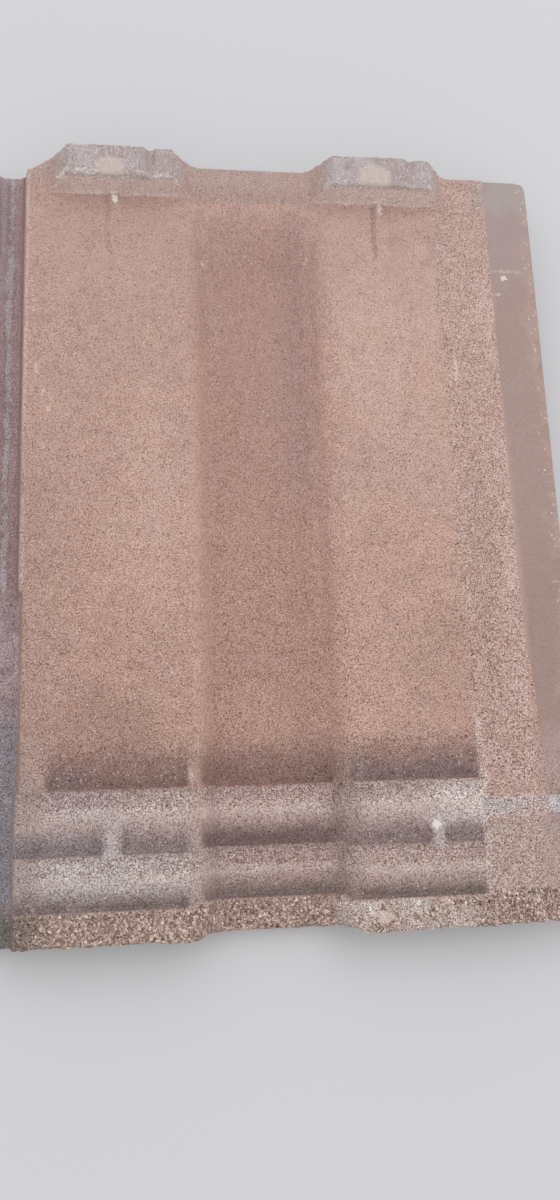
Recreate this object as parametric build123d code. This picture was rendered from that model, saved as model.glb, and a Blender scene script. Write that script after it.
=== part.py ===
from build123d import *
import os

# Interlocking concrete roof tile, lying face down as it does on a level floor.
# X runs across the tile, from the overlock (-X) to the underlock (+X).
# Y runs up the tile, from the tail (-Y) to the head (+Y), where the nibs are.
# Z is up: the crowns of the two rolls rest on Z = 0 and the soffit faces +Z.

# Overall sizes
tile_length = 420.0
tile_width = 330.0
side_lap = 35.0                # width that the neighbouring tile covers

# Section of the pans and of the rolls
pan_thickness = 14.0
roll_height = 15.5             # roll crown above the face of the pans
roll_crown_width = 46.0
roll_base_width = 78.0
crown_radius = 8.0
foot_radius = 8.0
overlock_crown_width = 38.0
overlock_base_width = 68.0
overlock_edge_radius = 4.0
roll_side_draft = 2.5

# Hollow under the middle roll
channel_depth = 16.5
channel_mouth_width = 74.0
channel_floor_width = 54.0
channel_edge_radius = 14.0
channel_floor_radius = 12.0
head_bar_length = 26.0         # solid bar that closes the hollow at the head
channel_end_run = 34.0         # length of the slope down from that bar
channel_end_radius = 25.0

# Underlock: two ribs with a water channel between them, on the face side
rib_tip_width = 6.0
rib_height = 1.5               # above the face of the pans
rib_draft = 2.0
rib_edge_radius = 1.5
water_channel_width = 10.0
water_channel_thickness = 7.5
water_channel_radius = 2.5
underlock_soffit_step = 1.0    # the smooth edge strip lies this much below the band beside it
underlock_strip_width = 27.0
rough_band_step = 0.5
rough_band_width = 30.0
outer_edge_radius = 2.5
step_radius = 0.3
underlock_bar_start = 358.0    # low bar across the underlock, measured from the head edge
underlock_bar_end = 372.0
underlock_bar_rise = 0.8       # above the rough band

# Overlock: an outer leg and a ridge that drop over the neighbour's two ribs
overlock_width = 41.0
lock_clearance = 1.0           # between the faces of two locked tiles
leg_clearance = 1.5            # between the leg and the neighbour's inner rib
leg_draft = 1.5
leg_edge_radius = 1.0
ridge_tip_width = 4.0
ridge_draft = 2.0
ridge_edge_radius = 1.2
ridge_foot_radius = 1.5
ridge_length = 246.0           # from the head: below it the recess takes the roll of the next course
recess_wall_draft = 3.5
recess_foot_radius = 3.0
arris_radius = 1.2
recess_relief = 2.0            # between the ridge's end and the weather bars the recess is this much wider
tail_ledge_start = 347.0

# Nibs that hook over the batten, one on each pan
left_nib_offset = 75.5         # from the middle of the middle roll
right_nib_offset = 70.5
nib_height = 17.5
nib_crest_width = 56.0
nib_shoulder_width = 13.0      # part of the crest's width that stands lower
nib_shoulder_drop = 2.0
nib_base_width = 80.0
nib_crest_length = 18.0
nib_base_length = 19.5
nib_crest_radius = 4.0
nib_shoulder_radius = 2.0
nib_foot_radius = 9.0
nib_head_radius = 1.5
bearing_crest_radius = 2.0
bearing_foot_radius = 2.0

# Low fin behind each nib, tapering out towards the tail
left_fin_offset = 79.4         # from the middle of the middle roll
right_fin_offset = 70.8
fin_width = 5.5
fin_length = 35.0
fin_height = 2.2
fin_end_height = 0.7

# Weather bars: three grooves across the soffit leave two bars and the tail lip
groove_1_start = 322.0         # distances from the head edge
groove_1_end = 346.0
groove_2_start = 360.0
groove_2_end = 376.0
groove_3_start = 390.0
groove_3_end = 401.0
groove_1_depth = 5.0
groove_2_depth = 4.6
groove_3_depth = 4.0
groove_slope = ((0.35, 0.14), (0.70, 0.55))   # shares of a groove's run and of its depth
groove_step_run = 0.6
groove_corner_radius = 4.0
bar_fall = 1.2                 # each bar's top slopes this much down to its head side
pan_margin = 14.0              # plain soffit beside the first groove
tie_width = 6.0                # bridges that interrupt the grooves
tie_offset = 81.0              # the second groove's two ties, from the middle of the roll
right_tie_offset = 34.5        # the first groove's right tie, from the middle of the roll
seam_offset = 40.5             # the bridge through all three grooves, from the middle of the roll

# Outline of the tail and of the corners
nose_setback = 3.0             # the roll's tail end stands back from the lip of the pans
nose_margin = 4.0              # beside the hollow's mouth
underlock_setback = 1.0
setback_run = 6.0
corner_radius = 6.0
small_corner_radius = 3.0

# Working allowances of the modelling
overlap = 1.0                  # how far an added form reaches into the body
reach = 5.0                    # how far a cut runs past the faces that it opens
skim = 0.2                     # a cut that starts at nothing starts this far above the face
veil = 0.03                    # gap between a face and the flat side of a cut that runs out onto it

# Pitch at which neighbouring tiles lie in one course
cover_width = tile_width - side_lap

# Levels
pan_face = roll_height
soffit = pan_face + pan_thickness
channel_floor = soffit - channel_depth
rib_tip = pan_face - rib_height
band_level = soffit - rough_band_step
strip_level = band_level - underlock_soffit_step
water_floor = strip_level - water_channel_thickness
recess_floor = rib_tip - lock_clearance
leg_tip = pan_face - lock_clearance
ridge_tip = water_floor - lock_clearance

# Places across the tile
outer_edge = tile_width / 2
overlock_edge = -tile_width / 2
soffit_arris = overlock_edge + overlock_width
relief_arris = soffit_arris + recess_relief
overlock_middle = overlock_edge + overlock_width / 2
roll_middle = overlock_middle + cover_width / 2
outer_rib_foot = outer_edge - rib_tip_width - rib_draft
inner_rib_foot = outer_rib_foot - water_channel_width
inner_rib_tip = inner_rib_foot - rib_draft - rib_tip_width
pan_face_end = inner_rib_tip - rib_draft / 2
strip_start = outer_edge - underlock_strip_width
band_start = strip_start - rough_band_width
ridge_middle = inner_rib_foot + water_channel_width / 2 - cover_width
leg_inside = pan_face_end - cover_width - leg_clearance

# Places up the tile
head = tile_length / 2
tail = -tile_length / 2


def section():
    """Cross-section of the whole tile, still without the hollow of the middle roll."""
    crown = roll_crown_width / 2
    foot = roll_base_width / 2
    overlock_and_soffit = [
        ((overlock_edge, leg_tip), leg_edge_radius),
        ((leg_inside, leg_tip), leg_edge_radius),
        ((leg_inside + leg_draft, recess_floor), leg_edge_radius),
        ((relief_arris - recess_wall_draft, recess_floor), recess_foot_radius),
        ((relief_arris, soffit), arris_radius),
        ((band_start, soffit), 0.0),
        ((band_start + rough_band_step, band_level), 0.0),
        ((strip_start, band_level), step_radius),
        ((strip_start + underlock_soffit_step / 2, strip_level), 0.0),
        ((outer_edge, strip_level), outer_edge_radius),
    ]
    underlock_and_face = [
        ((outer_edge, rib_tip), rib_edge_radius),
        ((outer_edge - rib_tip_width, rib_tip), rib_edge_radius),
        ((outer_rib_foot, water_floor), water_channel_radius),
        ((inner_rib_foot, water_floor), water_channel_radius),
        ((inner_rib_foot - rib_draft, rib_tip), rib_edge_radius),
        ((inner_rib_tip, rib_tip), rib_edge_radius),
        ((pan_face_end, pan_face), rib_edge_radius),
        ((roll_middle + foot, pan_face), foot_radius),
        ((roll_middle + crown, 0), crown_radius),
        ((roll_middle - crown, 0), crown_radius),
        ((roll_middle - foot, pan_face), foot_radius),
        ((overlock_middle + overlock_base_width / 2, pan_face), foot_radius),
        ((overlock_middle + overlock_crown_width / 2, 0), crown_radius),
        ((overlock_edge + roll_side_draft, 0), overlock_edge_radius),
        ((overlock_edge, leg_tip / 2), overlock_edge_radius),
    ]
    corners = overlock_and_soffit + underlock_and_face
    points = [point for point, radius in corners]
    radii = [radius for point, radius in corners]
    with BuildSketch(Plane.XZ) as sketch:
        with BuildLine():
            FilletPolyline(*points, radius=radii, close=True)
        make_face()
    return sketch.sketch


def across(profile_points, radii, length_from, length_to):
    """Prism with a profile drawn in X and Z, running up the tile between two places in Y."""
    with BuildSketch(Plane.XZ.offset(-length_to)) as sketch:
        with BuildLine():
            FilletPolyline(*profile_points, radius=radii, close=True)
        make_face()
    return extrude(sketch.sketch, amount=length_to - length_from, dir=(0, -1, 0))


def along(profile_points, radii, x_from, x_to):
    """Prism with a profile drawn in Y and Z, running across the tile between two places in X."""
    with BuildSketch(Plane.YZ.offset(x_from)) as sketch:
        with BuildLine():
            FilletPolyline(*profile_points, radius=radii, close=True)
        make_face()
    return extrude(sketch.sketch, amount=x_to - x_from, dir=(1, 0, 0))


def overlock_ridge():
    """Ridge on the floor of the overlock's recess that drops into the neighbour's water channel."""
    half_tip = ridge_tip_width / 2
    half_foot = half_tip + ridge_draft
    half_flat = half_foot + ridge_foot_radius
    return across(
        [
            (ridge_middle - half_flat, recess_floor - overlap),
            (ridge_middle - half_flat, recess_floor),
            (ridge_middle - half_foot, recess_floor),
            (ridge_middle - half_tip, ridge_tip),
            (ridge_middle + half_tip, ridge_tip),
            (ridge_middle + half_foot, recess_floor),
            (ridge_middle + half_flat, recess_floor),
            (ridge_middle + half_flat, recess_floor - overlap),
        ],
        [0, 0, ridge_foot_radius, ridge_edge_radius, ridge_edge_radius, ridge_foot_radius, 0, 0],
        head - ridge_length,
        head,
    )


def recess_wall(length_from, length_to):
    """Stretch along the overlock's recess where the soffit reaches out to its full width."""
    foot = soffit_arris - recess_wall_draft
    return across(
        [
            (foot - recess_foot_radius, recess_floor - overlap),
            (foot - recess_foot_radius, recess_floor),
            (foot, recess_floor),
            (soffit_arris, soffit),
            (relief_arris + reach, soffit),
            (relief_arris + reach, recess_floor - overlap),
        ],
        [0, 0, recess_foot_radius, arris_radius, 0, 0],
        length_from,
        length_to,
    )


def hollow_line(x_from, x_to, drop):
    """The soffit's line across the middle hollow, rounded, lowered by drop: its corners and radii."""
    mouth = channel_mouth_width / 2
    floor = channel_floor_width / 2
    return [
        ((x_from, soffit - drop), 0),
        ((roll_middle - mouth, soffit - drop), channel_edge_radius),
        ((roll_middle - floor, channel_floor - drop), channel_floor_radius),
        ((roll_middle + floor, channel_floor - drop), channel_floor_radius),
        ((roll_middle + mouth, soffit - drop), channel_edge_radius),
        ((x_to, soffit - drop), 0),
    ]


def middle_hollow():
    """What is taken out under the middle roll: open at the tail, closed by a slope at the head bar."""
    side = channel_mouth_width
    line = hollow_line(roll_middle - side, roll_middle + side, -veil)
    top = soffit + reach
    trough = across(
        [(roll_middle - side, top)] + [corner for corner, r in line] + [(roll_middle + side, top)],
        [0] + [r for corner, r in line] + [0],
        tail - reach,
        head + reach,
    )
    end_top = head - head_bar_length
    end_foot = end_top - channel_end_run
    limit_bottom = channel_floor - veil
    limit_top = soffit + 2 * veil
    length_limit = along(
        [
            (tail - 2 * reach, top + overlap),
            (tail - 2 * reach, limit_bottom),
            (end_foot, limit_bottom),
            (end_top, limit_top),
            (head + 2 * reach, limit_top),
            (head + 2 * reach, top + overlap),
        ],
        [0, 0, channel_end_radius, channel_end_radius, 0, 0],
        roll_middle - side - overlap,
        roll_middle + side + overlap,
    )
    return trough & length_limit


def soffit_strip(drop, y):
    """Face across the tile at one place in Y, lying over the soffit when it is lowered by drop."""
    line = hollow_line(soffit_arris - reach, band_start + reach, drop)
    over = [(band_start + reach, soffit + reach), (soffit_arris - reach, soffit + reach)]
    with BuildSketch(Plane.XZ.offset(-y)) as sketch:
        with BuildLine():
            FilletPolyline(
                *[corner for corner, r in line],
                *over,
                radius=[r for corner, r in line] + [0, 0],
                close=True,
            )
        make_face()
    return sketch.sketch.face()


def groove(bays, start, end, depth):
    """One groove of the weather bars, cut in bays: it deepens towards the tail, then steps up."""
    stations = [(start, -skim)]
    stations += [(start + run * (end - start), fall * depth) for run, fall in groove_slope]
    stations += [(end - groove_step_run, depth), (end, bar_fall)]
    body = loft([soffit_strip(drop, head - place) for place, drop in stations], ruled=True)
    lowest = channel_floor - depth - overlap
    pockets = []
    for x_from, x_to in bays:
        with BuildSketch(Plane.XY.offset(lowest)) as sketch:
            with Locations(((x_from + x_to) / 2, head - (start + end) / 2 + reach / 2)):
                outline = Rectangle(x_to - x_from, end - start + reach)
            fillet(outline.vertices().group_by(Axis.Y)[0], groove_corner_radius)
        pockets.append(body & extrude(sketch.sketch, amount=soffit + 2 * reach - lowest, dir=(0, 0, 1)))
    return pockets


def bar_top(x_from, x_to, start, end):
    """Shallow cut that leaves a weather bar's top falling towards its head side."""
    strips = [soffit_strip(bar_fall, head - start), soffit_strip(-skim, head - end)]
    limit = Box(x_to - x_from, end - start + 2 * reach, 2 * soffit + 2 * reach)
    return loft(strips, ruled=True) & limit.moved(Location(((x_from + x_to) / 2, head - (start + end) / 2, 0)))


def weather_cuts():
    """All that is taken out of the soffit between the plain pans and the tail lip."""
    open_side = soffit_arris - overlap
    pocket_side = soffit_arris + pan_margin
    right_wall = roll_middle + right_tie_offset
    half_tie = tie_width / 2
    left_tie = roll_middle - tie_offset
    right_tie = roll_middle + tie_offset
    seam = roll_middle - seam_offset
    first = [
        (pocket_side, seam - half_tie),
        (seam + half_tie, right_wall - half_tie),
        (right_wall + half_tie, band_start),
    ]
    second = [
        (open_side, left_tie - half_tie),
        (left_tie + half_tie, seam - half_tie),
        (seam + half_tie, right_tie - half_tie),
        (right_tie + half_tie, band_start),
    ]
    third = [(open_side, seam - half_tie), (seam + half_tie, band_start)]
    cuts = groove(first, groove_1_start, groove_1_end, groove_1_depth)
    cuts += groove(second, groove_2_start, groove_2_end, groove_2_depth)
    cuts += groove(third, groove_3_start, groove_3_end, groove_3_depth)
    cuts.append(bar_top(pocket_side, band_start, groove_1_end, groove_2_start))
    cuts.append(bar_top(pocket_side, band_start, groove_2_end, groove_3_start))
    return cuts


def underlock_bar():
    """Low bar that carries the weather bars on across the underlock."""
    top = band_level + underlock_bar_rise
    length = underlock_bar_end - underlock_bar_start
    width = outer_edge - outer_edge_radius - band_start + overlap
    depth = top - strip_level + overlap
    middle_y = head - (underlock_bar_start + underlock_bar_end) / 2
    middle_x = outer_edge - outer_edge_radius - width / 2
    bar = Box(width, length, depth).moved(Location((middle_x, middle_y, top - depth / 2)))
    return fillet(bar.faces().sort_by(Axis.Z)[-1].edges(), underlock_bar_rise / 2)


def nib(middle):
    """Nib that hooks over the batten: sloping ends, a lower shoulder, a square face to the tail."""
    half_base = nib_base_width / 2
    half_flat = half_base + nib_foot_radius
    crest_from = middle - nib_crest_width / 2
    crest_to = middle + nib_crest_width / 2 - nib_shoulder_width
    below = strip_level - overlap
    crest = soffit + nib_height
    shoulder = crest - nib_shoulder_drop
    base = head - nib_base_length
    back = base - bearing_foot_radius
    front = across(
        [
            (middle - half_flat, below),
            (middle - half_flat, soffit - veil),
            (middle - half_base, soffit - veil),
            (crest_from, crest),
            (crest_to - nib_shoulder_drop, crest),
            (crest_to, shoulder),
            (crest_to + nib_shoulder_width, shoulder),
            (middle + half_base, soffit - veil),
            (middle + half_flat, soffit - veil),
            (middle + half_flat, below),
        ],
        [0, 0, nib_foot_radius, nib_crest_radius, nib_shoulder_radius, nib_shoulder_radius]
        + [nib_crest_radius, nib_foot_radius, 0, 0],
        back - overlap,
        head + overlap,
    )
    side = along(
        [
            (head, below - overlap),
            (head, crest + veil),
            (head - nib_crest_length, crest + veil),
            (base, soffit - 2 * veil),
            (back, soffit - 2 * veil),
            (back, below - overlap),
        ],
        [0, nib_head_radius, bearing_crest_radius, bearing_foot_radius, 0, 0],
        middle - half_flat - overlap,
        middle + half_flat + overlap,
    )
    return front & side


def fin(middle):
    """Low fin that braces the nib's square face against the pan."""
    start = head - nib_crest_length
    end = head - nib_base_length - fin_length
    wedge = along(
        [
            (start, soffit - overlap),
            (start, soffit + fin_height),
            (end, soffit + fin_end_height),
            (end, soffit - overlap),
        ],
        [0, 0, 0, 0],
        middle - fin_width / 2,
        middle + fin_width / 2,
    )
    long_edges = wedge.faces().sort_by(Axis.Z)[-1].edges().filter_by(Axis.X, reverse=True)
    return fillet(long_edges, fin_end_height / 2)


def plan_outline():
    """Outline seen from above: the roll's nose and the underlock stand back from the tail lip."""
    half_nose = channel_mouth_width / 2 + nose_margin
    nose = tail + nose_setback
    underlock_tail = tail + underlock_setback
    corners = [
        ((overlock_edge, head), small_corner_radius),
        ((overlock_edge, tail), small_corner_radius),
        ((roll_middle - half_nose, tail), groove_corner_radius),
        ((roll_middle - half_nose + setback_run, nose), groove_corner_radius),
        ((roll_middle + half_nose - setback_run, nose), groove_corner_radius),
        ((roll_middle + half_nose, tail), groove_corner_radius),
        ((band_start, tail), groove_corner_radius),
        ((band_start + setback_run, underlock_tail), groove_corner_radius),
        ((outer_edge, underlock_tail), small_corner_radius),
        ((outer_edge, head), corner_radius),
    ]
    with BuildSketch() as sketch:
        with BuildLine():
            FilletPolyline(*[corner for corner, r in corners], radius=[r for corner, r in corners], close=True)
        make_face()
    return extrude(sketch.sketch, amount=soffit, dir=(0, 0, 1))


def roof_tile():
    """The whole tile, cast as one piece."""
    body = extrude(section(), amount=tile_length / 2, both=True)
    body += overlock_ridge()
    body += recess_wall(head - ridge_length, head)
    body += recess_wall(tail, head - tail_ledge_start)
    body += underlock_bar()
    body &= plan_outline()
    body -= middle_hollow()
    for cut in weather_cuts():
        body -= cut
    for middle in (roll_middle - left_nib_offset, roll_middle + right_nib_offset):
        body += nib(middle)
    for middle in (roll_middle - left_fin_offset, roll_middle + right_fin_offset):
        body += fin(middle)
    return body


os.makedirs("parts", exist_ok=True)
tile = roof_tile()
tile.label = "roof_tile"
export_step(tile, "parts/roof_tile.step")
print("solids", len(tile.solids()), "volume", round(tile.volume), "box", tile.bounding_box())
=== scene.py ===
import bpy
import numpy as np
from mathutils import Matrix, Vector, noise


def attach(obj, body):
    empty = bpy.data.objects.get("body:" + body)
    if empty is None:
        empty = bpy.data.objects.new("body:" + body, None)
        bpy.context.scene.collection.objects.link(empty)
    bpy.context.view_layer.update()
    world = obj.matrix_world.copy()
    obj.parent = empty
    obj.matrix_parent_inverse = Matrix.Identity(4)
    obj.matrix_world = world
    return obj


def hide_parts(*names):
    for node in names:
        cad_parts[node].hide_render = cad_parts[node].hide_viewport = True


# Interlocking concrete roof tile, face down: its soffit, nibs and weather bars are in view.
# X runs across the tile to the underlock, Y up the tile to the head, Z out of the soffit. Metres.

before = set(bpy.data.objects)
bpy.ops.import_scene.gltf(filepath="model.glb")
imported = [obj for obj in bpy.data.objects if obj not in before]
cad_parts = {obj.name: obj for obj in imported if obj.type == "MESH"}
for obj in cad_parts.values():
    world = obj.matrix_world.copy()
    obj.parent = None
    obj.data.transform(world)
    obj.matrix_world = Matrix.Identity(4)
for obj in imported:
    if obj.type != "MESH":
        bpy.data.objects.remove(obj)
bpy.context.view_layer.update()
MM = 0.001

# Places of the casting, in millimetres, as the model has them
HEAD = 210.0
TAIL = -210.0
SIDE = 165.0
SOFFIT = 29.5
NIB_CREST = 47.0
ARRIS = -124.0                # edge of the soffit at the overlock's recess
BAY_EDGE = 39.0               # where the side bays meet the middle one, on both sides
BAND_START = 108.0            # rough band beside the right pan
STRIP_START = 138.0           # smooth strip outside the band
LIP_START = 401.0             # coarse lip at the tail, by distance from the head
NIBS = (-72.5, 73.5)
FINS = (-76.4, 73.8)

# Each groove, by distance from the head: where its dark begins, where it is full, and its foot.
# Then where its pockets start and end in X.
GROOVES = (
    (319.0, 340.0, 345.4, ((-110.0, -40.5), (-34.5, 34.5), (40.5, 108.0))),
    (360.0, 371.5, 375.6, ((-126.0, -81.0), (-75.0, -40.5), (-34.5, 81.0), (87.0, 108.0))),
    (388.5, 400.0, LIP_START, ((-126.0, -40.5), (-34.5, 108.0))),
)

# Slip of the side bays' bars towards the tail: where it starts and ends, and by how much it grows
SLIPS = ((326.0, 346.0, 0.8), (350.0, 376.0, 1.2), (384.0, 402.0, 0.6))

# Slack dips in the nibs' crests: place in X, softness and depth
DIPS = ((-93.0, 6.0, 0.8), (-56.0, 2.2, 2.2), (52.0, 5.0, 0.7), (90.5, 2.5, 1.0))
TAIL_BITE = 1.5               # deepest chip out of the tail edge
CORNER_WEAR = (4.4, 1.2)      # how far the head's left corner is worn, down the tile and into it
FIN_WEAR = 0.45               # share of the fins' height that is worn off

# Smooth disc on each nib's crest: place in X, half width and half height
DISC_PLACE = 196.3
DISCS = ((-78.0, 8.0, 6.0), (68.4, 10.2, 8.5))
CREAM = (0.640, 0.545, 0.485)

# Broad soft tones left by the weather: place in X and Y, half width and half height, strength, colour
TONES = (
    (-57.0, 5.0, 20.0, 75.0, 0.50, (0.600, 0.400, 0.335)),
    (68.0, 110.0, 20.0, 60.0, 0.36, (0.620, 0.425, 0.370)),
    (92.0, -72.0, 24.0, 30.0, 0.50, (0.430, 0.275, 0.230)),
    (60.0, -98.0, 16.0, 16.0, 0.45, (0.560, 0.362, 0.302)),
    (-4.0, -101.0, 26.0, 16.0, 0.50, (0.520, 0.330, 0.268)),
    (-72.0, -103.0, 26.0, 14.0, 0.45, (0.370, 0.230, 0.192)),
    (119.0, -28.0, 8.0, 75.0, 0.40, (0.420, 0.285, 0.245)),
    (135.0, -30.0, 6.0, 130.0, 0.50, (0.560, 0.405, 0.360)),
    (133.0, 128.0, 6.0, 30.0, 0.45, (0.620, 0.460, 0.410)),
    (153.0, -127.0, 16.0, 18.0, 0.60, (0.460, 0.350, 0.325)),
    (150.0, 200.0, 22.0, 14.0, 0.60, (0.420, 0.375, 0.355)),
    (-25.0, 138.0, 12.0, 50.0, 0.50, (0.480, 0.315, 0.275)),
    (-112.0, -64.0, 16.0, 44.0, 0.40, (0.420, 0.280, 0.240)),
    (-8.0, -12.0, 16.0, 40.0, 0.35, (0.495, 0.315, 0.258)),
    (-72.0, -62.0, 26.0, 26.0, 0.35, (0.440, 0.275, 0.230)),
)

# Chips, scratches and pale spots: place in X and Y, half width and half height, strength, colour
CHALK = (0.80, 0.74, 0.68)
MARKS = (
    (-75.7, 187.1, 1.7, 2.6, 0.95, CHALK),
    (74.8, 186.4, 1.2, 3.4, 0.60, CHALK),
    (-39.9, -130.5, 1.4, 3.2, 0.50, (0.600, 0.510, 0.460)),
    (83.1, -159.1, 2.1, 2.1, 0.95, CHALK),
    (147.5, 151.6, 10.5, 0.6, 0.35, CHALK),
    (146.4, 147.1, 1.8, 1.3, 0.80, CHALK),
    (141.3, 136.7, 2.4, 0.8, 0.45, CHALK),
    (112.8, 90.0, 0.8, 12.0, 0.45, CHALK),
    (53.7, -202.9, 4.2, 3.2, 0.60, (0.74, 0.62, 0.57)),
    (-117.3, 84.0, 0.6, 6.0, 0.40, CHALK),
    (-113.8, 70.5, 0.8, 2.8, 0.35, CHALK),
    (-110.6, 62.0, 1.4, 1.4, 0.40, CHALK),
    (-26.8, 155.4, 0.8, 1.7, 0.60, CHALK),
    (-104.0, 194.0, 4.0, 1.4, 0.55, CHALK),
)

SKIN_PITCH = 1.2 * MM         # spacing of the fine skin that carries the cast surface
SKIN_TRIANGLES = 190000       # the skin is thinned to this many, most of all where it is flat
MERGE_DISTANCE = 0.01 * MM    # points of the model's mesh that are nearer than this are one point

# How unevenly the colours lie, in millimetres for noise that goes from about -0.5 to 0.5
WANDER = 2.6                  # of every edge
DRIFT_X = 26.0                # of broad tones, across and along the tile
DRIFT_Y = 34.0
GRAIN_IN_RED, GRAIN_IN_GREEN, GRAIN_IN_BLUE = 0.84, 1.04, 1.14  # dark grains are warmer than pale ones

# The Mix node's colour sockets, by number
MIX_FACTOR = 0
MIX_FIRST = 6
MIX_SECOND = 7
MIX_RESULT = 2


def only(obj):
    """Select one object and make it active."""
    bpy.ops.object.select_all(action="DESELECT")
    obj.select_set(True)
    bpy.context.view_layer.objects.active = obj


def apply_all(obj):
    """Apply the object's modifiers in their order."""
    only(obj)
    for modifier in list(obj.modifiers):
        bpy.ops.object.modifier_apply(modifier=modifier.name)


def ramp(value, start, end):
    """Smooth rise from 0 at start to 1 at end, for numbers or arrays."""
    t = np.clip((value - start) / (end - start), 0.0, 1.0)
    return t * t * (3.0 - 2.0 * t)


def band(value, start, end, soft):
    """1 between start and end, with soft shoulders outside them."""
    return ramp(value, start - soft, start) * (1.0 - ramp(value, end, end + soft))


def grain(points, size, seed, octaves=1):
    """Smooth noise about 0, one value a point. size is in millimetres."""
    shift = Vector((seed * 17.3, seed * 5.1, seed * 9.7))
    values = np.zeros(len(points))
    for octave in range(octaves):
        scale = 2.0 ** octave / size
        values += [noise.noise(Vector(p) * scale + shift) / 2.0 ** octave for p in points]
    return values


def cells(points, size, seed):
    """Distance to the nearest of many scattered points, about 0 to 1. size is in millimetres."""
    shift = Vector((seed * 3.1, seed * 11.9, seed * 7.7))
    return np.array([noise.voronoi(Vector(p) / size + shift)[0][0] for p in points])


def fine_skin():
    """The tile's own mesh, copied, merged and divided evenly, ready to take a cast surface."""
    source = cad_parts["roof_tile"]
    tile = bpy.data.objects.new("cast_tile", source.data.copy())
    bpy.context.collection.objects.link(tile)
    only(tile)
    bpy.ops.object.mode_set(mode="EDIT")
    bpy.ops.mesh.select_all(action="SELECT")
    bpy.ops.mesh.remove_doubles(threshold=MERGE_DISTANCE)
    bpy.ops.object.mode_set(mode="OBJECT")
    skin = tile.modifiers.new("even skin", "REMESH")
    skin.mode = "VOXEL"
    skin.voxel_size = SKIN_PITCH
    skin.use_smooth_shade = True
    apply_all(tile)
    return tile


def read(tile):
    """Positions in millimetres and normals of the tile's points."""
    count = len(tile.data.vertices)
    places = np.zeros(count * 3)
    normals = np.zeros(count * 3)
    tile.data.vertices.foreach_get("co", places)
    tile.data.vertices.foreach_get("normal", normals)
    return places.reshape(-1, 3) / MM, normals.reshape(-1, 3)


def thin_out(tile):
    """Bring the skin under its number of triangles, flat places first."""
    triangles = sum(len(face.vertices) - 2 for face in tile.data.polygons)
    if triangles > SKIN_TRIANGLES:
        fewer = tile.modifiers.new("thin out", "DECIMATE")
        fewer.ratio = SKIN_TRIANGLES / triangles
        apply_all(tile)


def cast_lift(places):
    """How far each point stands out: nearly level pans, open-textured bars, worn nibs, a coarse lip."""
    x, y, z = places.T
    down = HEAD - y
    on_tile = ramp(x, ARRIS - 3.0, ARRIS)  # 0 in the overlock's recess
    lip = ramp(down, LIP_START - 0.5, LIP_START + 1.5) * on_tile * ramp(z, 5.0, 12.0)
    bars = (band(down, 346.5, 356.0, 1.5) + band(down, 376.5, 386.0, 1.5)) * on_tile * ramp(z, 8.0, 12.0)
    bars *= 1.0 - ramp(x, BAND_START, BAND_START + 2.0)
    nib_tops = ramp(z, SOFFIT + 3.0, SOFFIT + 10.0)
    plain = 1.0 - ramp(x, STRIP_START, STRIP_START + 1.0)
    lumps = grain(places, 4.2, 1, 2)
    fines = grain(places, 11.0, 2, 2)
    broad = grain(places, 60.0, 3)
    pits = 1.0 - ramp(cells(places, 5.0, 4), 0.12, 0.45)
    discs = sum(1.0 - ramp(np.hypot((x - u) / w, (y - DISC_PLACE) / v), 0.85, 1.15) for u, w, v in DISCS)
    rough = np.clip(lip + 0.45 * bars + 0.5 * nib_tops * (1.0 - discs), 0.0, 1.0)
    return 0.12 * broad + 0.07 * fines * plain + rough * (0.7 * lumps - 0.5 * pits - 0.2)


def cast_surface(tile):
    """Move the skin's points: the cast relief, then slipped bars, a ragged tail and worn places."""
    places, normals = read(tile)
    x, y, z = places.T
    down = HEAD - y
    moved = places + normals * cast_lift(places)[:, None]

    # The side bays' bars lie a little nearer the tail than the middle bay's
    side_bays = band(x, ARRIS, -BAY_EDGE, 3.0) + band(x, BAY_EDGE, BAND_START, 3.0)
    slip = sum(step * ramp(down, start, end) for start, end, step in SLIPS) * (1.0 - ramp(down, 407.0, 418.0))
    moved[:, 1] -= side_bays * slip * ramp(z, 12.0, 20.0)

    # The tail edge is ragged: points near it are drawn in towards the head
    edge = ramp(down, 413.0, 419.0) * ramp(z, 2.0, 20.0)
    bite = np.clip(grain(places, 4.5, 6, 2) + 0.35, 0.0, 1.0)
    moved[:, 1] += edge * bite * TAIL_BITE

    # The head's left corner is worn round
    corner = (1.0 - ramp(x, ARRIS, ARRIS + 12.0)) * ramp(y, 198.0, HEAD) * ramp(z, 12.0, 24.0)
    moved[:, 1] -= CORNER_WEAR[0] * corner
    moved[:, 2] -= CORNER_WEAR[1] * corner

    # The mix did not quite fill the nibs' crests
    for middle, width, depth in DIPS:
        dip = band(x, middle - 1.0, middle + 1.0, width) * ramp(z, SOFFIT + 8.0, NIB_CREST - 2.0)
        moved[:, 2] -= depth * dip * (0.35 + 0.65 * ramp(y, 196.0, 206.0))

    # The fins behind the nibs are worn low
    for fin in FINS:
        worn = band(x, fin - 3.0, fin + 3.0, 2.0) * band(y, 160.0, 186.0, 1.0) * ramp(z, SOFFIT, SOFFIT + 0.5)
        moved[:, 2] -= worn * FIN_WEAR * (moved[:, 2] - SOFFIT)

    moved[:, 0] = np.clip(moved[:, 0], -SIDE, SIDE)
    moved[:, 1] = np.clip(moved[:, 1], TAIL, HEAD)
    moved[:, 2] = np.clip(moved[:, 2], 0.0, NIB_CREST)
    tile.data.vertices.foreach_set("co", (moved * MM).ravel())
    tile.data.update()


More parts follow.
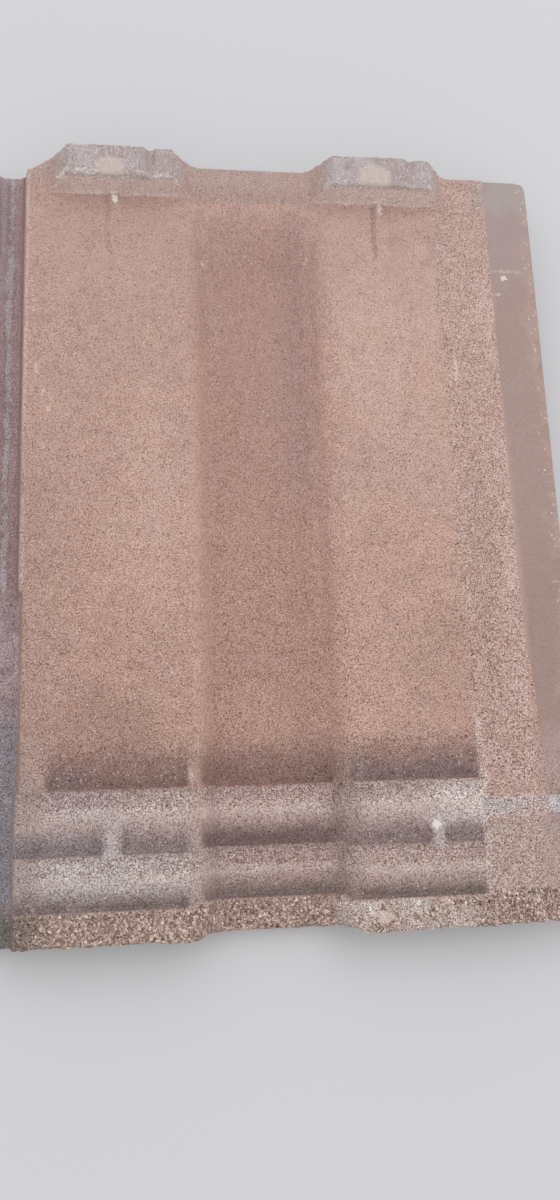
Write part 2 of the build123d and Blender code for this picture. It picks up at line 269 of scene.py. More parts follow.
class Board:
    """Short ways to lay out the nodes of one material or group."""

    def __init__(self, tree):
        self.tree = tree

    def set(self, socket, value):
        """Link a socket to another, or write a value on it."""
        if isinstance(value, bpy.types.NodeSocket):
            self.tree.links.new(value, socket)
        else:
            socket.default_value = value

    def node(self, kind, inputs=None, **settings):
        """Add a node, with its settings and what goes into its sockets."""
        made = self.tree.nodes.new(kind)
        for name, value in settings.items():
            setattr(made, name, value)
        for name, value in (inputs or {}).items():
            self.set(made.inputs[name], value)
        return made

    def math(self, operation, a, b):
        return self.node("ShaderNodeMath", {0: a, 1: b}, operation=operation).outputs[0]

    def plus(self, a, b):
        return self.math("ADD", a, b)

    def less(self, a, b):
        return self.math("SUBTRACT", a, b)

    def flip(self, value):
        return self.less(1.0, value)

    def times(self, first, *others):
        for other in others:
            first = self.math("MULTIPLY", first, other)
        return first

    def most(self, first, *others):
        for other in others:
            first = self.math("MAXIMUM", first, other)
        return first

    def rise(self, value, start, end, low=0.0, high=1.0):
        """Smooth change from low at start to high at end, flat outside them."""
        made = self.node("ShaderNodeMapRange", {0: value, 1: start, 2: end, 3: low, 4: high})
        made.interpolation_type = "SMOOTHSTEP"
        return made.outputs[0]

    def between(self, value, start, end, soft, soft_end=None):
        """1 between start and end, with soft shoulders outside them."""
        soft_end = soft if soft_end is None else soft_end
        rising = self.rise(value, start - soft, start)
        return self.times(rising, self.rise(value, end, end + soft_end, 1.0, 0.0))

    def noise(self, vector, size, detail=2.0, rough=0.5, seed=0.0):
        """Noise about 0.5 whose patches are size across, in the vector's unit."""
        shifted = self.node("ShaderNodeVectorMath", {0: vector, 1: (seed * 37.0, seed * 11.0, seed * 23.0)})
        inputs = {"Vector": shifted.outputs[0], "Scale": 1.0 / size, "Detail": detail, "Roughness": rough}
        return self.node("ShaderNodeTexNoise", inputs).outputs[0]

    def blend(self, factor, first, second, kind="MIX"):
        """The second colour over the first, by factor. A colour written out has red, green and blue."""
        made = self.node("ShaderNodeMix", data_type="RGBA", blend_type=kind, clamp_factor=True)
        self.set(made.inputs[MIX_FACTOR], factor)
        for number, tone in ((MIX_FIRST, first), (MIX_SECOND, second)):
            self.set(made.inputs[number], (*tone, 1.0) if isinstance(tone, tuple) else tone)
        return made.outputs[MIX_RESULT]

    def oval(self, x, y, place_x, place_y, half_x, half_y, outside=1.3, inside=0.5):
        """1 inside an oval spot about a place, with a soft rim."""
        u = self.math("DIVIDE", self.less(x, place_x), half_x)
        v = self.math("DIVIDE", self.less(y, place_y), half_y)
        return self.rise(self.plus(self.times(u, u), self.times(v, v)), outside, inside)


def group(name, inputs, outputs):
    """Empty node group with named sockets: its tree, its board, what it is given and what it puts out."""
    tree = bpy.data.node_groups.new(name, "ShaderNodeTree")
    for socket, kind, value in inputs:
        made = tree.interface.new_socket(socket, in_out="INPUT", socket_type=kind)
        if value is not None:
            made.default_value = value
    for socket, kind in outputs:
        tree.interface.new_socket(socket, in_out="OUTPUT", socket_type=kind)
    board = Board(tree)
    return tree, board, board.node("NodeGroupInput").outputs, board.node("NodeGroupOutput").inputs


def sand_group():
    """Sand and cement: tone of the grains about 0, and the height of the surface."""
    tree, b, given, out = group(
        "sand grain",
        [("Vector", "NodeSocketVector", None)],
        [("Tone", "NodeSocketFloat"), ("Height", "NodeSocketFloat")],
    )
    cell = b.node("ShaderNodeTexVoronoi", {"Vector": given["Vector"], "Scale": 1.45})
    shade = b.node("ShaderNodeSeparateColor", {0: cell.outputs["Color"]}).outputs[0]
    fine = b.noise(given["Vector"], 0.72, 2.0, 0.75)
    clumps = b.noise(given["Vector"], 5.5, 3.0, 0.6, 2.0)
    tone = b.times(b.less(fine, 0.5), 2.6)
    tone = b.plus(tone, b.times(b.less(clumps, 0.5), 0.30))
    tone = b.plus(tone, b.times(b.less(shade, 0.5), 0.30))
    dots = b.times(b.rise(shade, 0.18, 0.06), b.rise(cell.outputs["Distance"], 0.60, 0.30), -0.20)
    flecks = b.times(b.rise(b.noise(given["Vector"], 1.15, 2.0, 0.6, 3.0), 0.43, 0.32), -0.30)
    b.set(out["Tone"], b.plus(tone, b.plus(dots, flecks)))
    b.set(out["Height"], b.plus(fine, b.times(cell.outputs["Distance"], -0.4)))
    return tree


def spot_group():
    """Round spots, one in some of the cells of a scattered pattern."""
    tree, b, given, out = group(
        "spots",
        [
            ("Vector", "NodeSocketVector", None),
            ("Size", "NodeSocketFloat", 1.0),
            ("Share", "NodeSocketFloat", 0.1),
        ],
        [("Mask", "NodeSocketFloat"), ("Shade", "NodeSocketFloat")],
    )
    scale = b.math("DIVIDE", 1.0, given["Size"])
    cell = b.node("ShaderNodeTexVoronoi", {"Vector": given["Vector"], "Scale": scale})
    parts = b.node("ShaderNodeSeparateColor", {0: cell.outputs["Color"]})
    chosen = b.math("LESS_THAN", parts.outputs[0], given["Share"])
    b.set(out["Mask"], b.times(chosen, b.rise(cell.outputs["Distance"], 0.5, 0.3)))
    b.set(out["Shade"], parts.outputs[1])
    return tree


SAND = sand_group()
SPOTS = spot_group()


class Surface(Board):
    """The tile's surface in its material: where a point lies, in millimetres, and its colour so far."""

    def __init__(self, tree):
        super().__init__(tree)
        where = self.node("ShaderNodeTexCoord").outputs["Object"]
        scaled = self.node("ShaderNodeVectorMath", {0: where, "Scale": 1.0 / MM}, operation="SCALE")
        self.mm = scaled.outputs[0]
        self.plain_x, self.plain_y, self.z = self.node("ShaderNodeSeparateXYZ", {0: self.mm}).outputs

        # Every edge wanders a little, and broad tones drift as well
        self.wander = self.less(self.noise(self.mm, 3.5, 3.0, 0.6, 1.0), 0.5)
        drift = self.less(self.noise(self.mm, 30.0, 2.0, 0.5, 2.0), 0.5)
        self.x = self.plus(self.plain_x, self.times(self.wander, WANDER))
        self.y = self.plus(self.plain_y, self.times(self.wander, WANDER))
        self.soft_x = self.plus(self.x, self.times(drift, DRIFT_X))
        self.soft_y = self.plus(self.y, self.times(drift, DRIFT_Y))
        self.down = self.less(HEAD, self.y)
        self.patches = self.noise(self.mm, 42.0, 3.0, 0.55, 3.0)
        self.blots = self.noise(self.mm, 13.0, 3.0, 0.6, 4.0)
        drawn_out = self.node("ShaderNodeVectorMath", {0: self.mm, 1: (1.0, 0.16, 1.0)}, operation="MULTIPLY")
        self.along = drawn_out.outputs[0]
        self.streaks = self.noise(self.along, 5.0, 3.0, 0.6, 5.0)
        normal = self.node("ShaderNodeNewGeometry").outputs["Normal"]
        _, self.turned, out_of_soffit = self.node("ShaderNodeSeparateXYZ", {0: normal}).outputs
        self.soffit_side = self.rise(out_of_soffit, -0.35, -0.05)

    def paint(self, tint, *masks):
        """Lay a colour over what is there, as strongly as the masks multiplied together."""
        self.body = self.blend(self.times(*masks), self.body, tint)

    def spots(self, size, share):
        """Mask and shade of round spots of about one size, in millimetres, in a share of their cells."""
        inputs = {"Vector": self.mm, "Size": size, "Share": share}
        made = self.node("ShaderNodeGroup", inputs, node_tree=SPOTS)
        return made.outputs["Mask"], made.outputs["Shade"]


def lay_pans(s):
    """Pans: greyer at the head, more orange towards the bars, a little lighter on the right."""
    to_right = s.rise(s.soft_x, 10.0, 60.0)
    head_tone = s.blend(to_right, (0.505, 0.332, 0.290), (0.560, 0.380, 0.330))
    low_tone = s.blend(to_right, (0.490, 0.312, 0.260), (0.520, 0.335, 0.280))
    s.body = s.blend(s.rise(s.soft_y, 110.0, -60.0), head_tone, low_tone)
    near_bars = s.blend(s.rise(s.soft_x, 20.0, 50.0), (0.410, 0.255, 0.212), (0.465, 0.298, 0.252))
    s.paint(near_bars, s.rise(s.soft_y, -70.0, -120.0))
    s.paint((0.560, 0.362, 0.292), s.rise(s.patches, 0.44, 0.64, 0.0, 0.50))
    s.paint((0.500, 0.350, 0.322), s.rise(s.patches, 0.44, 0.30, 0.0, 0.40))
    s.paint((0.395, 0.258, 0.228), s.rise(s.blots, 0.52, 0.70, 0.0, 0.40))
    s.paint((0.600, 0.425, 0.372), s.rise(s.blots, 0.42, 0.28, 0.0, 0.30))


def lay_hollow(s):
    """Hollow: darker floor, a tan band of painted light on the smooth left wall, which faces the light,
    purplish painted shade towards the right at the head, and painted light higher up the right wall.
    """
    below_head = s.rise(s.y, 188.0, 160.0)
    s.in_hollow = s.times(s.between(s.x, -20.0, 27.5, 9.0, 4.0), below_head)
    s.paint((0.430, 0.268, 0.224), s.in_hollow, 0.72)
    # Painted light: a lighter tan band on the left wall, which faces the light.
    s.tan_wall = s.times(s.between(s.x, -35.0, -29.0, 6.0, 4.0), s.rise(s.y, 180.0, 130.0))
    s.paint((0.575, 0.372, 0.295), s.tan_wall, 0.50)
    # Painted shade: purplish and darker low on the right wall at the head, where it turns from the light.
    plum_shade = s.times(s.between(s.soft_x, 22.0, 32.0, 12.0, 8.0), s.between(s.soft_y, 40.0, 180.0, 40.0, 10.0))
    s.paint((0.395, 0.262, 0.248), plum_shade, 0.48)
    # Painted light: lighter higher on the right wall, to lift the shade the lamp leaves there, most at the
    # head.
    right_wall_light = s.times(s.between(s.x, 34.0, 39.0, 5.0, 3.0), below_head)
    s.paint((0.560, 0.362, 0.315), right_wall_light, s.rise(s.soft_y, -60.0, 20.0, 0.35, 1.0), 0.65)

    # Darker edge of the left pan, in its lower half
    s.paint((0.395, 0.270, 0.232), s.rise(s.soft_x, -98.0, -122.0), s.rise(s.soft_y, 60.0, 10.0), 0.55)


def lay_band_and_strip(s):
    """Rough band, and the smooth strip beside it with a paler outer margin."""
    s.on_band = s.between(s.x, BAND_START, STRIP_START, 6.0, 0.1)
    s.paint((0.495, 0.350, 0.310), s.on_band, 0.6)
    near_tail = s.rise(s.plain_y, -40.0, -120.0)
    strip_x = s.less(s.plain_x, s.times(near_tail, s.plus(s.times(s.wander, 7.0), 4.0)))
    strip = s.rise(strip_x, STRIP_START - 0.2, STRIP_START + 0.5)
    s.smooth = s.times(strip, s.rise(s.soft_y, -134.0, -116.0))
    margin_x = s.plus(s.soft_x, s.times(s.wander, 12.0))
    margin = s.times(s.rise(margin_x, 153.0, 160.0), s.rise(s.blots, 0.42, 0.50))
    tone = s.blend(s.rise(s.soft_y, 120.0, 175.0), (0.400, 0.288, 0.262), (0.405, 0.310, 0.300))
    tone = s.blend(s.rise(s.soft_y, 40.0, -60.0), tone, (0.372, 0.260, 0.235))
    tone = s.blend(s.times(margin, 0.65), tone, (0.455, 0.335, 0.292))
    s.paint(tone, strip)


def lay_soft_tones(s):
    """Broad tones. Beside the rough band they keep to their place, elsewhere they drift."""
    for place_x, place_y, half_x, half_y, strength, tint in TONES:
        across = s.x if place_x > BAND_START else s.soft_x
        s.paint(tint, s.oval(across, s.soft_y, place_x, place_y, half_x, half_y, 1.5, 0.1), strength)


def lay_head(s):
    """Head bar, the soffit behind the nibs, and the nibs' greyer crests."""
    s.paint((0.398, 0.290, 0.268), s.between(s.y, 190.0, 197.0, 4.0), s.between(s.x, -34.0, 34.0, 10.0), 0.7)
    s.paint((0.450, 0.345, 0.315), s.rise(s.y, 193.0, 201.0), s.rise(s.x, 112.0, 104.0), 0.65)
    by_nibs = s.most(*[s.between(s.x, nib - 40.0, nib + 40.0, 6.0) for nib in NIBS])
    s.behind_nibs = s.times(by_nibs, s.between(s.y, 150.0, 192.0, 35.0, 4.0))
    s.paint((0.480, 0.350, 0.315), s.behind_nibs, 0.25)
    s.crest = s.rise(s.z, SOFFIT + 4.0, SOFFIT + 12.0)
    tone = s.blend(s.rise(s.z, SOFFIT + 10.0, NIB_CREST - 2.0), (0.480, 0.368, 0.342), (0.434, 0.358, 0.354))
    tone = s.blend(s.times(s.rise(s.blots, 0.46, 0.62), 0.8), tone, (0.500, 0.442, 0.455))
    s.paint(tone, s.crest)


def lay_nib_faces(s):
    """Pale bearing faces, partly painted light that lifts the shade on these steep faces, crumbs along worn
    edges, and the shade beside each fin.
    """
    above_soffit = s.rise(s.z, SOFFIT - 0.3, SOFFIT + 1.5)
    low_on_nib = s.times(above_soffit, s.rise(s.z, NIB_CREST - 2.5, NIB_CREST - 6.0))
    # Bearing faces: partly their own pale cement, partly painted light that lifts the shade on these steep
    # faces.
    bearing = s.times(low_on_nib, s.rise(s.turned, -0.50, -0.76), s.rise(s.y, 187.5, 190.5))
    by_ends = s.most(*[s.between(s.soft_x, nib - 26.0, nib + 26.0, 12.0) for nib in NIBS])
    bearing = s.times(bearing, s.plus(s.times(by_ends, 0.4), 0.6), s.rise(s.blots, 0.30, 0.50, 0.75, 1.0))
    s.paint((0.668, 0.535, 0.495), bearing)

    s.edge_grains = s.times(s.rise(s.z, NIB_CREST - 8.0, NIB_CREST - 5.0), s.rise(s.y, 195.5, 192.5))
    on_edges = s.times(s.edge_grains, s.rise(s.blots, 0.36, 0.52, 0.16, 0.80))
    on_foot_line = s.times(s.between(s.x, 50.0, 104.0, 3.0), s.between(s.y, 190.0, 191.6, 0.8), 0.55)
    s.rim = s.times(s.rise(s.plus(s.x, s.times(s.wander, 6.0)), 157.5, 161.5), s.rise(s.y, -120.0, -90.0))
    on_rim = s.times(s.rim, s.rise(s.blots, 0.42, 0.58, 0.05, 0.30))
    s.crumbs, _ = s.spots(1.5, s.most(on_edges, on_foot_line, on_rim))
    s.paint((0.600, 0.510, 0.465), s.edge_grains, 0.25)

    left_fin, right_fin = [s.between(s.x, fin - 4.2, fin - 2.4, 1.2) for fin in FINS]
    shade = s.times(s.most(s.times(left_fin, 0.5), right_fin), s.between(s.y, 158.0, 188.0, 4.0, 1.0))
    s.paint((0.250, 0.180, 0.165), shade, s.rise(s.blots, 0.25, 0.50, 0.3, 1.0), 0.48)


def lay_overlock(s):
    """Recess of the overlock: dark, with a grey stripe along it where water has stood, painted light lifting
    the shade on its near wall and in part on its far side, and a pale arris.
    """
    s.lock = s.rise(s.x, ARRIS - 0.9, ARRIS - 1.9)
    edge_x = s.plus(s.plain_x, s.times(s.less(s.streaks, 0.5), 6.0))
    wobble = s.plus(edge_x, s.times(s.wander, 5.0))
    tone = s.blend(s.rise(s.streaks, 0.35, 0.65), (0.310, 0.210, 0.218), (0.385, 0.262, 0.262))
    stripe = s.times(s.between(wobble, -134.6, -133.2, 1.6), s.rise(s.blots, 0.34, 0.52, 0.10, 0.85))
    tone = s.blend(s.times(stripe, s.rise(s.y, -42.0, -30.0)), tone, (0.462, 0.425, 0.440))
    # Painted light: lighter by the arris side of the recess, to lift the shade of its wall.
    near_wall_light = s.times(s.between(edge_x, -131.0, -129.0, 1.5), s.rise(s.soft_y, -20.0, 20.0))
    tone = s.blend(s.times(near_wall_light, 0.7), tone, (0.440, 0.310, 0.310))
    # Paler grey on the far side, partly painted light that lifts the shade deep in the recess, most at the
    # head.
    far_side_grey_and_light = s.times(s.rise(edge_x, -135.5, -139.0), s.rise(s.soft_y, 60.0, 140.0, 0.45, 1.0))
    tone = s.blend(s.times(far_side_grey_and_light, 0.8), tone, (0.480, 0.410, 0.430))
    lower = s.blend(s.rise(s.blots, 0.35, 0.60), (0.330, 0.250, 0.262), (0.450, 0.350, 0.360))
    tone = s.blend(s.rise(s.soft_y, -22.0, -50.0), tone, lower)
    tone = s.blend(s.between(s.y, -182.0, -108.0, 20.0), tone, (0.285, 0.258, 0.282))
    tone = s.blend(s.rise(s.y, -186.0, -200.0), tone, (0.190, 0.175, 0.160))
    s.paint(tone, s.lock, s.soffit_side, s.rise(wobble, -147.0, -142.0))

    arris = s.between(s.plain_x, ARRIS - 0.6, ARRIS + 1.4, 1.0)
    arris = s.times(arris, s.rise(s.z, SOFFIT - 2.5, SOFFIT - 0.8), s.soffit_side)
    s.paint((0.580, 0.440, 0.390), arris, s.rise(s.streaks, 0.35, 0.60, 0.1, 0.65))


def lay_bars(s):
    """Weather bars: from each groove's foot the bar grows paler to its crest, then darkens down the next."""
    s.on_tile = s.times(s.flip(s.lock), s.soffit_side)
    left_bay = s.between(s.plain_x, ARRIS, -BAY_EDGE, 3.0)
    right_bay = s.between(s.plain_x, BAY_EDGE, BAND_START, 3.0)
    side_bays = s.most(left_bay, right_bay)
    for start, end, step in SLIPS:
        s.down = s.less(s.down, s.times(side_bays, s.rise(s.down, start, end, 0.0, step)))
    s.waved = s.plus(s.down, s.times(s.wander, 1.6))
    s.left_margin = s.rise(s.x, -108.0, -114.0)
    right_end = s.rise(s.plus(s.x, s.times(s.wander, 5.0)), 112.0, 105.5)
    bar_start = s.most(s.rise(s.waved, 345.4, 347.0), s.times(s.left_margin, s.rise(s.down, 316.0, 354.0)))
    s.bar_zone = s.times(bar_start, s.rise(s.down, LIP_START + 2.0, LIP_START - 0.5), s.on_tile, right_end)

    # Tones across the bars, where the second bar differs from the first
    s.left = s.rise(s.soft_x, -60.0, -85.0)
    s.middle = s.between(s.x, -33.0, 33.0, 4.0)
    right = s.rise(s.soft_x, 74.0, 92.0)
    second = s.rise(s.down, 366.0, 374.0)
    tone = s.blend(s.left, (0.495, 0.383, 0.360), (0.425, 0.345, 0.338))
    tone = s.blend(s.times(right, s.flip(second)), tone, (0.665, 0.578, 0.558))
    tone = s.blend(s.times(second, s.rise(s.soft_x, 10.0, -30.0), 0.8), tone, (0.500, 0.448, 0.430))
    tone = s.blend(s.times(second, s.rise(s.soft_x, 28.0, 48.0)), tone, (0.455, 0.346, 0.318))
    in_middle = s.blend(second, (0.515, 0.382, 0.350), (0.415, 0.300, 0.274))
    tone = s.blend(s.times(s.middle, 0.8), tone, in_middle)
    in_margin = s.blend(second, (0.385, 0.290, 0.270), (0.375, 0.305, 0.292))
    tone = s.blend(s.times(s.left_margin, 0.9), tone, in_margin)
    s.paint(tone, s.bar_zone, 0.9)
    s.paint((0.350, 0.262, 0.240), s.bar_zone, s.rise(s.blots, 0.50, 0.66), 0.35)

    # Each bar's shaded low side, its pale crest, and its open-textured top
    low_side = s.most(s.between(s.waved, 346.0, 348.5, 1.0, 6.0), s.between(s.waved, 376.0, 377.5, 1.0, 3.0))
    s.paint((0.300, 0.220, 0.205), low_side, s.bar_zone, 0.35)
    crests = s.most(s.between(s.waved, 356.5, 359.0, 2.5, 4.0), s.between(s.waved, 386.0, 388.0, 2.0, 3.0))
    crests = s.times(crests, s.bar_zone, s.rise(s.blots, 0.30, 0.55, 0.45, 1.0), s.flip(s.left_margin))
    s.paint(s.blend(s.left, (0.600, 0.490, 0.455), (0.560, 0.480, 0.455)), crests, 0.55)
    tan_side = s.times(s.between(s.waved, 360.5, 365.0, 2.0), s.bar_zone, s.rise(s.soft_x, -70.0, -95.0))
    s.paint((0.500, 0.375, 0.345), tan_side, 0.4)
    tops = s.most(s.between(s.waved, 346.5, 355.0, 1.0, 3.0), s.between(s.waved, 376.5, 384.0, 1.0, 3.0))
    s.tops = s.times(tops, s.on_tile, right_end, s.rise(s.x, -116.0, -109.0))


def lay_grooves(s):
    """Dark pockets of the grooves, partly damp and partly painted shade, darkest at each groove's foot."""
    by_sides = s.most(s.rise(s.soft_x, -84.0, -104.0), s.rise(s.soft_x, 34.0, 48.0))
    purple = s.times(s.rise(s.waved, 331.0, 343.0), by_sides)
    first = s.blend(s.middle, (0.245, 0.158, 0.142), (0.268, 0.172, 0.152))
    first = s.blend(purple, first, (0.222, 0.162, 0.160))
    second = s.blend(s.left, (0.268, 0.204, 0.200), (0.252, 0.205, 0.214))
    second = s.blend(s.middle, second, (0.205, 0.140, 0.136))
    third = s.blend(s.left, (0.225, 0.172, 0.158), (0.232, 0.182, 0.176))
    for (lead, full, foot, pockets), dark in zip(GROOVES, (first, second, third)):
        bay = s.most(*[s.between(s.x, start + 3.0, end - 3.0, 5.0) for start, end in pockets])
        bay = s.most(bay, s.times(s.between(s.x, -44.0, 44.0, 3.0), 0.55))
        if dark is first:
            bay = s.times(bay, s.rise(s.x, -114.0, -105.0))
        # Partly damp, partly painted shade: each groove darkens towards its foot.
        depth = s.times(s.rise(s.waved, lead, full), s.rise(s.waved, foot + 1.0, foot - 0.4))
        s.paint(dark, bay, depth, s.on_tile, s.rise(s.blots, 0.30, 0.55, 0.78, 0.98))


def lay_bar_ends(s):
    """Pale ridge beside the rough band, painted shade of the hollow's right wall and a seam through the bars,
    and the light ties.
    """
    ridge = s.times(s.between(s.x, 108.0, 110.0, 1.5), s.between(s.down, 320.0, 398.0, 6.0), s.soffit_side)
    s.paint((0.580, 0.450, 0.410), ridge, s.rise(s.blots, 0.32, 0.52, 0.25, 0.75))
    # Painted shade: the shade of the hollow's right wall, carried on down through the bars.
    right_wall_shade_x = s.plus(s.soft_x, s.times(s.wander, 8.0))
    right_wall_shade = s.times(s.between(right_wall_shade_x, 35.0, 44.0, 5.0), s.rise(s.down, 325.0, 340.0))
    s.paint((0.325, 0.240, 0.218), right_wall_shade, s.rise(s.down, 406.0, 400.0), s.on_tile, 0.55)
    ties = s.most(s.between(s.x, -81.5, -74.5, 2.0), s.between(s.x, 82.0, 86.0, 2.0))
    s.paint((0.505, 0.438, 0.425), ties, s.between(s.down, 362.0, 377.0, 3.0), s.on_tile, 0.7)
    seam = s.times(s.between(s.x, -40.0, -35.0, 1.5), s.rise(s.down, 312.0, 330.0), s.on_tile)
    s.paint((0.450, 0.330, 0.280), seam, 0.45, s.rise(s.blots, 0.30, 0.50, 0.4, 1.0))


def lay_low_bar(s):
    """The underlock's low bar, its shaded foot, and the strip beyond it."""
    rough_down = s.plus(s.down, s.times(s.wander, 5.0))
    past_bars = s.rise(s.x, 106.0, 110.0)
    s.low_bar = s.times(s.between(rough_down, 358.5, 362.0, 3.0, 8.0), past_bars)
    tone = s.blend(s.rise(s.soft_x, 128.0, 146.0), (0.505, 0.445, 0.438), (0.550, 0.505, 0.520))
    s.paint(tone, s.low_bar, s.rise(s.blots, 0.34, 0.54, 0.35, 1.0))
    s.paint((0.330, 0.252, 0.240), s.between(rough_down, 370.0, 371.0, 3.0, 2.0), past_bars, 0.5)
    s.paint((0.450, 0.350, 0.318), s.rise(rough_down, 367.0, 373.0), s.rise(s.x, 107.0, 109.0), 0.75)


def lay_lip(s):
    """Tail lip: coarse brown mix with bright and dark grains, chalky on the right, dark at its left end."""
    s.lip = s.times(s.rise(s.down, LIP_START, LIP_START + 2.0), s.on_tile)
    pebble, shade = s.spots(1.2, 1.0)
    tone = s.blend(s.rise(shade, 0.0, 0.95), (0.210, 0.142, 0.118), (0.635, 0.480, 0.412))
    tone = s.blend(s.rise(s.blots, 0.40, 0.60, 0.0, 0.35), tone, (0.280, 0.195, 0.165))
    tone = s.blend(s.times(s.flip(pebble), 0.35), tone, (0.250, 0.172, 0.145))
    grains, grain_shade = s.spots(2.1, 0.20)
    bright = s.blend(grain_shade, (0.620, 0.450, 0.385), (0.800, 0.700, 0.640))
    tone = s.blend(s.times(grains, 0.8), tone, bright)
    chalky = s.times(s.between(s.soft_x, 40.0, 92.0, 12.0), s.rise(s.blots, 0.32, 0.55))
    tone = s.blend(s.times(chalky, 0.60), tone, (0.640, 0.560, 0.535))
    tone = s.blend(s.times(s.rise(s.x, -104.0, -120.0), 0.6), tone, (0.120, 0.105, 0.090))
    s.paint(tone, s.lip)


def lay_grain(s):
    """Sand grain over everything, by how open each place is, and faint brush lines at the head."""
    s.sand = s.node("ShaderNodeGroup", {"Vector": s.mm}, node_tree=SAND)
    bare = s.most(s.times(s.smooth, 0.72), s.times(s.tan_wall, 0.25))
    openness = s.plus(s.rise(s.soft_y, 190.0, 40.0, 0.62, 1.0), s.rise(s.soft_y, 40.0, -80.0, 0.0, 0.2))
    openness = s.plus(openness, s.times(s.most(s.tops, s.lip, s.low_bar), 0.35))
    openness = s.plus(openness, s.times(s.on_band, 0.25))
    openness = s.times(openness, s.flip(bare), s.flip(s.times(s.crest, 0.25)))
    brushed = s.less(s.noise(s.along, 1.3, 2.0, 0.6, 7.0), 0.5)
    brushing = s.times(s.rise(s.soft_y, 60.0, 150.0, 0.0, 0.45), s.flip(s.smooth))
    brushing = s.times(brushing, s.flip(s.times(s.behind_nibs, 0.8)))
    tone = s.plus(s.times(s.sand.outputs["Tone"], openness), s.times(brushed, brushing))
    shares = (GRAIN_IN_RED, GRAIN_IN_GREEN, GRAIN_IN_BLUE)
    channels = [s.plus(1.0, s.times(tone, share)) for share in shares]
    grained = s.node("ShaderNodeCombineColor", dict(enumerate(channels))).outputs[0]
    s.body = s.blend(1.0, s.body, grained, "MULTIPLY")


def lay_pits_and_salt(s):
    """Dark pits, white salt, crumbs on worn edges, and swarms of pale grains."""
    on_bars = s.times(s.bar_zone, 0.35, s.flip(s.left_margin))
    pitted = s.most(s.tops, s.times(s.low_bar, 0.8), on_bars, s.times(s.on_band, 0.40), 0.10)
    pitted = s.times(pitted, s.rise(s.blots, 0.30, 0.60, 0.7, 1.15), s.flip(s.smooth))
    pits, _ = s.spots(1.05, s.times(pitted, 0.58))
    s.paint((0.175, 0.112, 0.105), pits, 0.74)

    salted = ((s.tops, 0.10), (s.low_bar, 0.14), (s.on_band, 0.12), (s.crest, 0.24), (s.edge_grains, 0.34))
    share = s.most(*[s.times(place, part) for place, part in salted], 0.008)
    salt, _ = s.spots(1.0, s.times(share, s.flip(s.smooth)))
    s.paint((0.760, 0.680, 0.620), salt, 0.7)
    s.paint((0.770, 0.690, 0.640), s.crumbs, s.rise(s.rim, 0.0, 1.0, 0.85, 0.45))

    swarm = s.rise(s.noise(s.mm, 8.0, 3.0, 0.6, 8.0), 0.50, 0.66)
    swarm = s.times(swarm, s.flip(s.smooth), s.flip(s.crest), s.flip(s.in_hollow))
    swarm = s.times(swarm, s.rise(s.soft_y, 175.0, 110.0), s.rise(s.x, 100.0, 125.0, 0.30, 0.45))
    pale, shade = s.spots(1.15, swarm)
    s.paint(s.blend(shade, (0.660, 0.460, 0.395), (0.760, 0.620, 0.570)), pale, 0.55)


def lay_marks(s):
    """Chips, scratches and pale spots, and the smooth pale disc on each nib's crest."""
    torn = s.less(s.noise(s.mm, 1.6, 2.0, 0.7, 6.0), 0.5)
    torn_x = s.plus(s.x, s.times(torn, 5.0))
    torn_y = s.plus(s.y, s.times(torn, -6.0))
    for place_x, place_y, half_x, half_y, strength, tint in MARKS:
        s.paint(tint, s.oval(torn_x, torn_y, place_x, place_y, half_x, half_y), s.soffit_side, strength)
    on_crest = s.rise(s.z, NIB_CREST - 2.6, NIB_CREST - 1.4)
    for place_x, half_x, half_y in DISCS:
        disc = s.oval(s.x, s.y, place_x, DISC_PLACE, half_x, half_y)
        s.paint(CREAM, disc, on_crest, s.rise(s.wander, -0.2, 0.2, 0.45, 0.85))


def new_material(name):
    material = bpy.data.materials.new(name)
    material.use_nodes = True
    return material, material.node_tree.nodes["Principled BSDF"]


def concrete():
    """Through-coloured concrete, weathered: brown pans, grooves dark with damp and painted shade, grey bars
    and a coarse tail lip.
    """
    material, shader = new_material("weathered concrete")
    s = Surface(material.node_tree)
    lay_pans(s)
    lay_hollow(s)
    lay_band_and_strip(s)
    lay_soft_tones(s)
    lay_head(s)
    lay_nib_faces(s)
    lay_overlock(s)
    lay_bars(s)
    lay_grooves(s)
    lay_bar_ends(s)
    lay_low_bar(s)
    lay_lip(s)
    lay_grain(s)
    lay_pits_and_salt(s)
    lay_marks(s)
    s.set(shader.inputs["Base Color"], s.body)
    shader.inputs["Roughness"].default_value = 0.92
    shader.inputs["Specular IOR Level"].default_value = 0.2

    # The grain's relief is lower on the smooth strip
    relief = s.rise(s.plain_x, STRIP_START - 0.2, STRIP_START + 2.0, 1.0, 0.35)
    height = s.times(s.sand.outputs["Height"], relief)
    bump = s.node("ShaderNodeBump", {"Strength": 0.55, "Distance": 0.35 * MM, "Height": height})
    s.set(shader.inputs["Normal"], bump.outputs[0])
    return material


tile = fine_skin()
cast_surface(tile)
thin_out(tile)
tile.data.materials.clear()
tile.data.materials.append(concrete())
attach(tile, "root")
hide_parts("roof_tile")


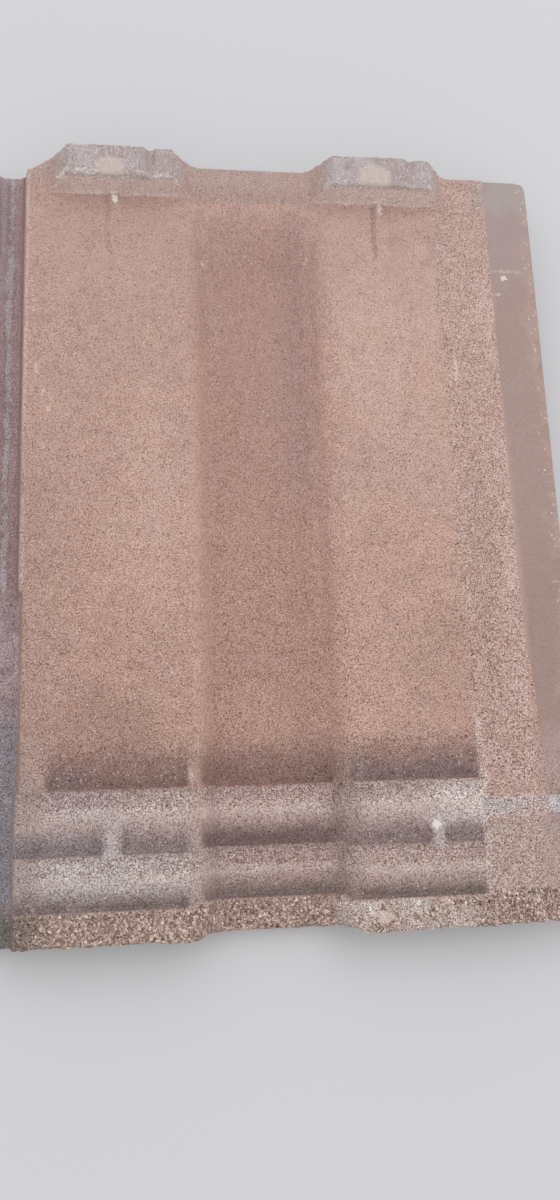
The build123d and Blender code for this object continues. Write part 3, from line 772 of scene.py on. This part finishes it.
# Plain pale floor, one soft lamp above the head end, and even light from all round
FLOOR_SIZE = 8.0
FLOOR_COLOUR = (0.665, 0.67, 0.69, 1.0)
KEY_PLACE = (0.35, 0.75, 1.7)
KEY_SIZE = 1.4
KEY_POWER = 6.0
SKY_COLOUR = (1.0, 1.0, 1.0, 1.0)
SKY_STRENGTH = 0.86


def pale_floor():
    bpy.ops.object.select_all(action="DESELECT")
    bpy.ops.mesh.primitive_plane_add(size=FLOOR_SIZE, location=(0, 0, 0))
    floor = bpy.context.object
    floor.name = "floor"
    material, shader = new_material("pale floor")
    shader.inputs["Base Color"].default_value = FLOOR_COLOUR
    shader.inputs["Roughness"].default_value = 0.9
    shader.inputs["Specular IOR Level"].default_value = 0.1
    floor.data.materials.append(material)


def key_lamp():
    """Square softbox that faces the middle of the tile."""
    bpy.ops.object.light_add(type="AREA", location=KEY_PLACE)
    lamp = bpy.context.object
    lamp.name = "key"
    lamp.data.shape = "SQUARE"
    lamp.data.size = KEY_SIZE
    lamp.data.energy = KEY_POWER
    lamp.rotation_euler = (-Vector(KEY_PLACE)).to_track_quat("-Z", "Y").to_euler()


def even_sky():
    world = bpy.data.worlds.new("studio")
    world.use_nodes = True
    background = world.node_tree.nodes["Background"]
    background.inputs["Color"].default_value = SKY_COLOUR
    background.inputs["Strength"].default_value = SKY_STRENGTH
    bpy.context.scene.world = world


pale_floor()
key_lamp()
even_sky()

# Camera, solved from the tile's straight edges in the photograph
CAMERA_PLACE = (-0.05978, -0.16193, 0.54236)
CAMERA_RIGHT = (0.99173, -0.03851, 0.12246)
CAMERA_UP = (0.00974, 0.97377, 0.22734)
CAMERA_BACK = (-0.12801, -0.22426, 0.96608)
FOCAL_PIXELS = 1024.86
IMAGE_HEIGHT = 1200
SENSOR = 36.0

camera_data = bpy.data.cameras.new("camera")
camera_data.sensor_width = SENSOR
camera_data.lens = FOCAL_PIXELS / IMAGE_HEIGHT * SENSOR
camera_data.clip_start = 0.01
camera = bpy.data.objects.new("camera", camera_data)
bpy.context.collection.objects.link(camera)
turn = Matrix((CAMERA_RIGHT, CAMERA_UP, CAMERA_BACK)).transposed().to_4x4()
camera.matrix_world = Matrix.Translation(CAMERA_PLACE) @ turn
bpy.context.scene.camera = camera
bpy.context.scene.view_settings.view_transform = "Standard"
